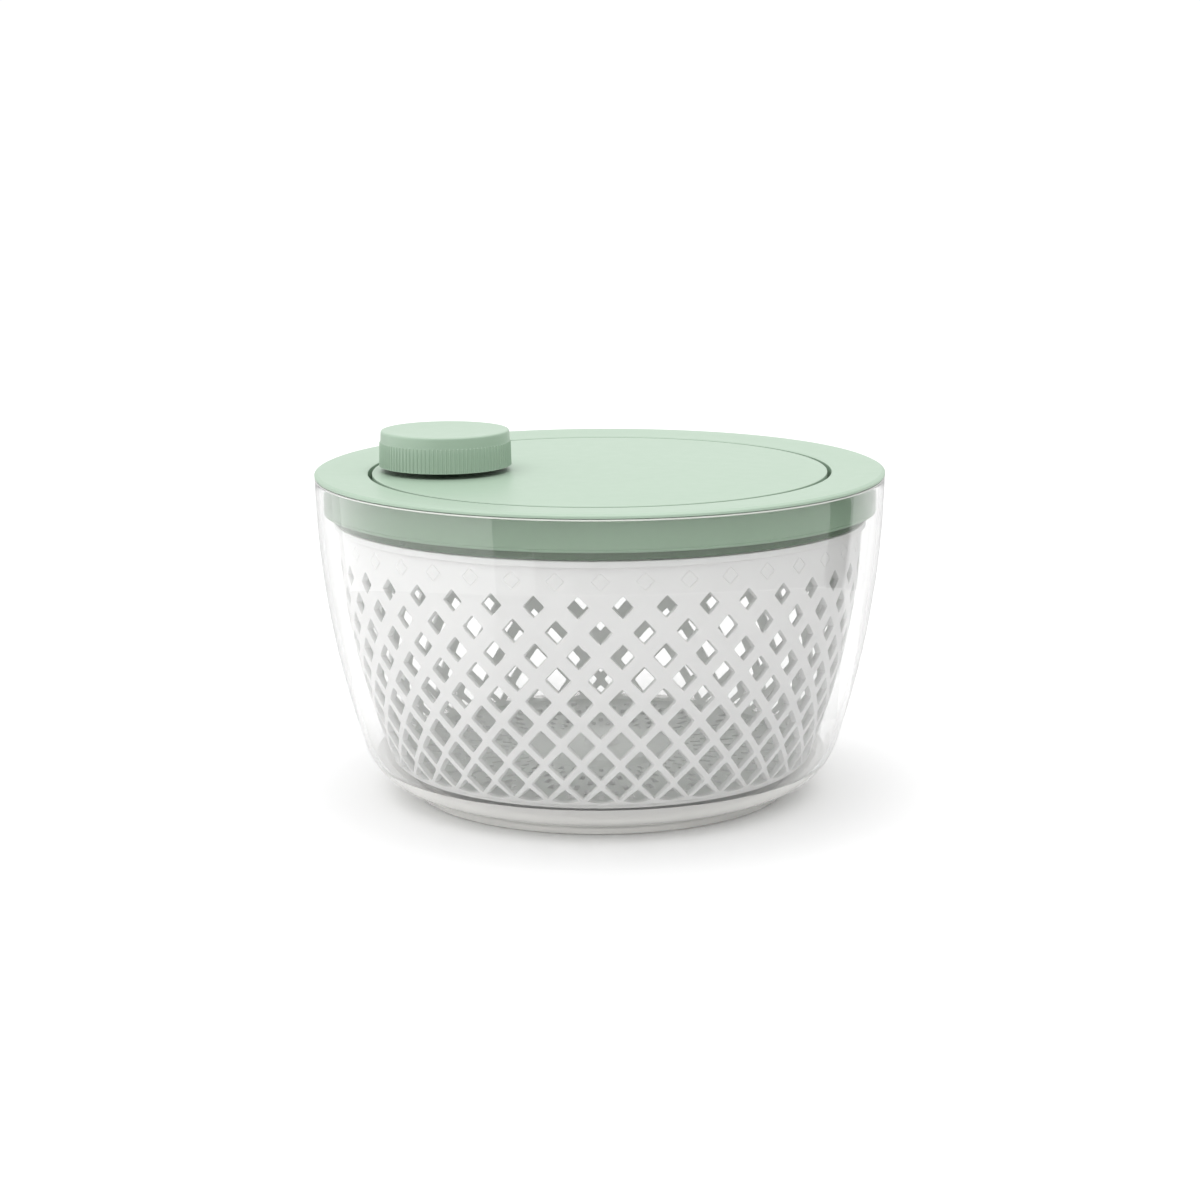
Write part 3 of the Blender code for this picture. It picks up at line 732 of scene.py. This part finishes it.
def make_lid_skirt(material):
    """The skirt with a bead at its lower edge, and the floor that carries the gears."""
    low, top, edge = SKIRT_LOW / MM, HOUSING_TOP / MM, SKIRT_R / MM
    floor_top, floor_under, bore = 131, 129.2, 7.4
    corners = ((edge - 1.8, top, 0.3), (edge, top, 0.3), (edge - 0.55, low + 1.3, 0.2),
               (edge - 0.2, low + 1.0, 0.25), (edge - 0.3, low, 0.5), (edge - 1.9, low, 0.4),
               (edge - 2.0, floor_under, 0.4), (bore, floor_under, 0.3),
               (bore, floor_top, 0.3), (edge - 1.85, floor_top, 0.6))
    skirt = turned("lid_skirt", rounded(corners, closed=True), FINE_ROUND, closed=True)
    below, above = 128 * MM, 132 * MM
    holes = [(1.7 * MM, below, above, x, y) for _, x, y in lid_screw_places()]
    holes += [(2.3 * MM, below, above, x, y) for _, x, y in on_circle(PINS_R, 3, 90)]
    combine(skirt, rods("holes", holes), "DIFFERENCE")
    return finish_piece(skirt, material, "lid_body", "inner_green_plastic", "lid_housing")


def make_turntable(material):
    """The flush disc, with a turned-down edge, a ring to slide on and bosses for the ring gear."""
    top, edge = DISC_TOP / MM, DISC_R / MM
    under, edge_low, slide_low, slide_in, slide_out = 140.4, 138.4, 139.2, 92.6, 95.4
    corners = ((0, top, 0), (edge - 1, top, 0), (edge, top - 0.05, 0.45), (edge, edge_low, 0.5),
               (edge - 1.8, edge_low, 0.5), (edge - 1.8, under, 0.5), (slide_out, under, 0.3),
               (slide_out, slide_low, 0.4), (slide_in, slide_low, 0.4), (slide_in, under, 0.3),
               (0, under, 0))
    disc = turned("turntable_disc", rounded(corners), FINE_ROUND)
    places = list(on_circle(RING_SCREWS_R, 4, 45))
    bosses = [(3.2 * MM, WELL_TOP * MM, 141 * MM, x, y) for _, x, y in places]
    holes = [(1.6 * MM, 136.4 * MM, 140.4 * MM, x, y) for _, x, y in places]
    holes.append((3.3 * MM, 139 * MM, 144 * MM, KNOB_X, 0))
    combine(disc, rods("bosses", bosses), "UNION")
    combine(disc, rods("holes", holes), "DIFFERENCE")
    return finish_piece(disc, material, "turntable_body", "green_plastic", "turntable")


def make_drive_plate(material):
    """The dark ring between lid and basket, with its lugs, socket and one outer key."""
    edge = PLATE_R / MM
    boss_top, top, under, low = 127.6, 127, 125.2, 123.6
    corners = ((0, boss_top, 0), (9, boss_top, 0.6), (9.6, top, 0.4), (edge, top, 0.5),
               (edge, low, 0.5), (edge - 2, low, 0.4), (edge - 2, under, 0.5),
               (9.4, under, 0.6), (9, low, 0.6), (0, low, 0))
    plate = turned("drive_plate_fine", rounded(corners, 4))
    lugs = []
    for angle, _, _ in on_circle(1, LUGS):
        aim = Matrix.Rotation(angle, 4, "Z") @ Matrix.Translation((109.5 * MM, 0, 122.2 * MM))
        lugs.append((Vector((3, 12, 7)) * MM, aim))
    key = Matrix.Rotation(radians(-91.7), 4, "Z") @ Matrix.Translation((PLATE_R, 0, under * MM))
    lugs.append((Vector((1.2, 2.8, 3.0)) * MM, key))
    combine(plate, boxes("lugs", lugs), "UNION")
    combine(plate, rods("socket", [(4.4 * MM, 124.9 * MM, 129 * MM, 0, 0)], 6), "DIFFERENCE")
    combine(plate, rods("hole", [(1.9 * MM, 122 * MM, 126 * MM, 0, 0)]), "DIFFERENCE")
    return finish_piece(plate, material, "drive_body", "dark_green_plastic", "drive_plate")


# Knob


def rib_angles():
    """Angles round the knob, packed closely over each narrow rib."""
    pitch = 2 * pi / RIBS
    shares = (-RIB_HALF, -0.17, -0.09, 0, 0.09, 0.17, RIB_HALF, 0.5)
    return [pitch * (rib + share) + FRONT for rib in range(RIBS) for share in shares]


def knob_shape(angle, radius, height):
    """Narrow upright ribs round the gripping band, with a rounded upper end."""
    rib_high = KNOB_LOW + RIB_TOP
    if radius < KNOB_R - 1.6 * MM or not KNOB_LOW + RIB_LOW < height < rib_high:
        return radius
    turns = (angle - FRONT) * RIBS / (2 * pi)
    share = abs(turns - round(turns)) / RIB_HALF
    fade = min(1, (rib_high - height) / RIB_FADE) ** 0.5
    return radius + RIB_HEIGHT * fade * max(0, 1 - share * share)


def make_knob(material):
    """A hollow cap with a dished top. Rings of points close together hold its ribs' ends."""
    low, top = KNOB_LOW / MM, KNOB_TOP / MM
    out = (KNOB_R - RIB_HEIGHT) / MM
    rib_top = low + RIB_TOP / MM
    corners = [(0, top - 0.55, 0), (12, top - 0.5, 4), (22, top - 0.2, 4), (26, top, 1.2),
               (out - 0.45, top, 1.9), (out - 0.26, rib_top + 0.35, 0)]
    band = [(out - 0.25, rib_top + 0.12, 0), (out - 0.24, rib_top + 0.03, 0)]
    band += [(out - 0.24, rib_top - share * 0.4, 0) for share in (0.02, 0.12, 0.3, 0.6, 1)]
    band += [(out - 0.22 + 0.2 * k / 4, rib_top - 0.5 - (RIB_TOP / MM - 1.2) * k / 4, 0)
             for k in range(5)]
    band += [(out, low + 0.5, 0), (out + 0.1, low + 0.36, 0), (out + 0.12, low + 0.22, 0)]
    inside = [(out - 0.1, low, 0.1), (27.1, low, 0.3), (26.1, 155, 1), (25.4, top - 2.4, 1.2),
              (0, top - 2.7, 0)]
    knob = turned("knob_shell", rounded(corners + band + inside), centre=(KNOB_X, 0),
                  shape=knob_shape, angles=rib_angles())
    return finish_piece(knob, material, "knob_body", "green_plastic", "knob_cap")


# Camera, light and floor


def make_camera():
    """The photograph's viewpoint: close, a little above the lid, aimed down at the middle."""
    data = bpy.data.cameras.new("camera")
    data.sensor_width = 36
    data.lens = FOCAL_LENGTH
    camera = bpy.data.objects.new("camera", data)
    camera.location = EYE
    camera.rotation_euler = (pi / 2 - LOOK_DOWN, 0, 0)
    camera.rotation_euler.rotate_axis("Z", ROLL)
    bpy.context.scene.collection.objects.link(camera)
    bpy.context.scene.camera = camera


def aim_lamp(name, data, place):
    """A lamp at a place, aimed at the origin."""
    lamp = bpy.data.objects.new(name, data)
    lamp.location = place
    lamp.rotation_euler = (Vector() - Vector(place)).to_track_quat("-Z", "Y").to_euler()
    lamp.visible_camera = False
    bpy.context.scene.collection.objects.link(lamp)
    return lamp


def make_sun(name, place, strength, spread_degrees):
    """Broad even light from one side, like a large soft box far off."""
    data = bpy.data.lights.new(name, "SUN")
    data.energy = strength
    data.angle = radians(spread_degrees)
    return aim_lamp(name, data, place)


def light_only(name, lamps, things):
    """Keeps the lamps' light on the given pieces, and the lamps out of reflections."""
    receivers = bpy.data.collections.new(name)
    for thing in things:
        receivers.objects.link(thing)
    for lamp in lamps:
        lamp.light_linking.receiver_collection = receivers
        lamp.visible_glossy = False
        lamp.visible_transmission = False


def light_basket(bowl, basket):
    """Lamps that make up for the light that the clear bowl and the basket's wall keep out."""
    glows = (make_sun("left_glow", (-1, -0.55, 0.45), 1.25, 60),
             make_sun("right_glow", (0.5, -0.85, 0.25), 0.9, 90))
    light_only("behind_the_bowl", glows, (bowl, basket))
    data = bpy.data.lights.new("inner_glow", "POINT")
    data.energy = 0.045
    data.shadow_soft_size = 0.04
    inner = aim_lamp("inner_glow", data, (0, 0, 0.07))
    light_only("inside_the_basket", (inner,), (basket,))


def make_reflection(name, verts, faces, radiance, behind=False):
    """A panel of even brightness that shows only in reflections, or also through the bowl."""
    mesh = bpy.data.meshes.new(name)
    mesh.from_pydata(verts, [], faces)
    panel = bpy.data.objects.new(name, mesh)
    bpy.context.scene.collection.objects.link(panel)
    material = bpy.data.materials.new(name)
    material.use_nodes = True
    tree = material.node_tree
    glow = tree.nodes.new("ShaderNodeEmission")
    glow.inputs["Strength"].default_value = radiance
    tree.links.new(glow.outputs[0], tree.nodes["Material Output"].inputs["Surface"])
    material.cycles.emission_sampling = "NONE"
    mesh.materials.append(material)
    panel.visible_camera = False
    panel.visible_diffuse = False
    panel.visible_transmission = behind
    panel.visible_shadow = False


def make_side_panel(name, start, end, low, high, radiance, corner=0, behind=False):
    """An upright curved panel round the object. Angles run from the front towards +X."""
    verts = []
    for k in range(PANEL_STEPS + 1):
        share = k / PANEL_STEPS
        angle = radians(start + (end - start) * share)
        from_end = min(share, 1 - share) * abs(radians(end - start)) * PANEL_R
        inset = 0
        if from_end < corner:
            inset = corner - (corner ** 2 - (corner - from_end) ** 2) ** 0.5
        for height in (low + inset, high - inset):
            verts.append((PANEL_R * sin(angle), -PANEL_R * cos(angle), height))
    faces = [(2 * k, 2 * k + 2, 2 * k + 3, 2 * k + 1) for k in range(PANEL_STEPS)]
    make_reflection(name, verts, faces, radiance, behind)


def make_floor_panel(name, start, end, inner, outer, radiance):
    """A flat panel just above the floor: part of a ring round the object."""
    verts = []
    for k in range(PANEL_STEPS + 1):
        angle = radians(start + (end - start) * k / PANEL_STEPS)
        verts += [(r * sin(angle), -r * cos(angle), PANEL_LIFT) for r in (inner, outer)]
    faces = [(2 * k, 2 * k + 1, 2 * k + 3, 2 * k + 2) for k in range(PANEL_STEPS)]
    make_reflection(name, verts, faces, radiance)


def make_world():
    """White all round: dimmer as light than as what the camera and reflections see."""
    world = bpy.data.worlds.new("studio")
    world.use_nodes = True
    tree = world.node_tree
    back = tree.nodes["Background"]
    back.inputs["Color"].default_value = (1, 1, 1, 1)
    back.inputs["Strength"].default_value = 0.7
    seen = tree.nodes.new("ShaderNodeBackground")
    seen.inputs["Color"].default_value = (1, 1, 1, 1)
    seen.inputs["Strength"].default_value = 1.05
    rays = tree.nodes.new("ShaderNodeLightPath")
    factor = rays.outputs["Is Camera Ray"]
    for kind in ("Is Transmission Ray", "Is Glossy Ray"):
        either = tree.nodes.new("ShaderNodeMath")
        either.operation = "MAXIMUM"
        tree.links.new(factor, either.inputs[0])
        tree.links.new(rays.outputs[kind], either.inputs[1])
        factor = either.outputs[0]
    mix = tree.nodes.new("ShaderNodeMixShader")
    output = tree.nodes["World Output"]
    tree.links.new(factor, mix.inputs[0])
    tree.links.new(back.outputs[0], mix.inputs[1])
    tree.links.new(seen.outputs[0], mix.inputs[2])
    tree.links.new(mix.outputs[0], output.inputs["Surface"])
    bpy.context.scene.world = world


def make_floor():
    """A white floor, a hair below the object's foot so that the two never coincide."""
    mesh = bpy.data.meshes.new("studio_floor")
    corners = [(x * FLOOR_HALF, y * FLOOR_HALF, -FLOOR_DROP)
               for x, y in ((-1, -1), (1, -1), (1, 1), (-1, 1))]
    mesh.from_pydata(corners, [], [(0, 1, 2, 3)])
    floor = bpy.data.objects.new("studio_floor", mesh)
    bpy.context.scene.collection.objects.link(floor)
    material = moulded("studio_white", (0.95, 0.95, 0.95), 0.004, 0.7, grain=60, bump=0.0)
    mesh.materials.append(material)


def make_studio():
    """Soft light from above, and panels that give the shells what they reflect."""
    make_camera()
    make_world()
    make_floor()
    make_sun("key", (-0.02, 0.02, 1), 2.1, 80)
    make_sun("fill", (-0.9, -0.45, 0.35), 0.25, 120)
    for row in PANELS:
        make_side_panel(*row)
    make_side_panel("flag_left", -35.8, -21.7, 0.046, FLAG_HIGH, 0.2, PANEL_CORNER)
    make_side_panel("flag_last", 90.6, 104.9, 0, FLAG_HIGH, 0, PANEL_CORNER, behind=True)
    for name, start, end, dark in TABLE:
        if name != "front":
            make_side_panel("flag_back_" + name, start, end, 0, PANEL_HIGH, dark)
        for ring in range(TABLE_RINGS):
            outer = PANEL_R - TABLE_STEP * ring
            make_floor_panel("table_%s_%d" % (name, ring), start, end, outer - TABLE_STEP,
                             outer, dark + (1 - dark) * ring / TABLE_RINGS)


def set_view():
    """The colour transform, and enough bounces for light to get through the clear bowl."""
    scene = bpy.context.scene
    scene.view_settings.view_transform = "Standard"
    scene.cycles.max_bounces = 16
    scene.cycles.transmission_bounces = 14
    scene.cycles.transparent_max_bounces = 24
    scene.cycles.diffuse_bounces = 6


def main():
    green = moulded("sage_plastic", (0.365, 0.48, 0.377), 0.015, 0.40)
    deep_green = moulded("sage_plastic_inner", (0.305, 0.465, 0.315), 0.015, 0.4)
    dark_green = moulded("dark_green_plastic", (0.085, 0.165, 0.08), 0.03, 0.5)
    white = moulded("white_polypropylene", (0.915, 0.912, 0.908), 0.006, 0.38)
    acetal = moulded("acetal", (0.8, 0.79, 0.73), 0.02, 0.32, grain=1600)
    steel = plated_steel()
    clear = clear_plastic("clear_styrene", (0.92, 0.92, 0.918), 0.012, 0.98)
    matt = clear_plastic("matt_styrene", (0.87, 0.862, 0.84), 0.05, 0.5)

    make_studio()
    set_view()
    basket = make_basket(white)
    light_basket(make_bowl(clear, matt), basket)
    make_lid_skirt(deep_green)
    make_drive_plate(dark_green)
    make_lid_rim(green)
    make_turntable(green)
    make_knob(green)

    # The CAD nodes that stay visible take the same materials
    finishes = {"acetal": acetal, "steel": steel, "green_plastic": green,
                "inner_green_plastic": deep_green, "dark_green_plastic": dark_green,
                "white_plastic": white, "clear_plastic": clear}
    for row in frame["record"]["subparts"]:
        node = frame["nodes"][row["node"]]
        for slot in node.material_slots:
            slot.material = finishes[row["material_slot"]]


main()
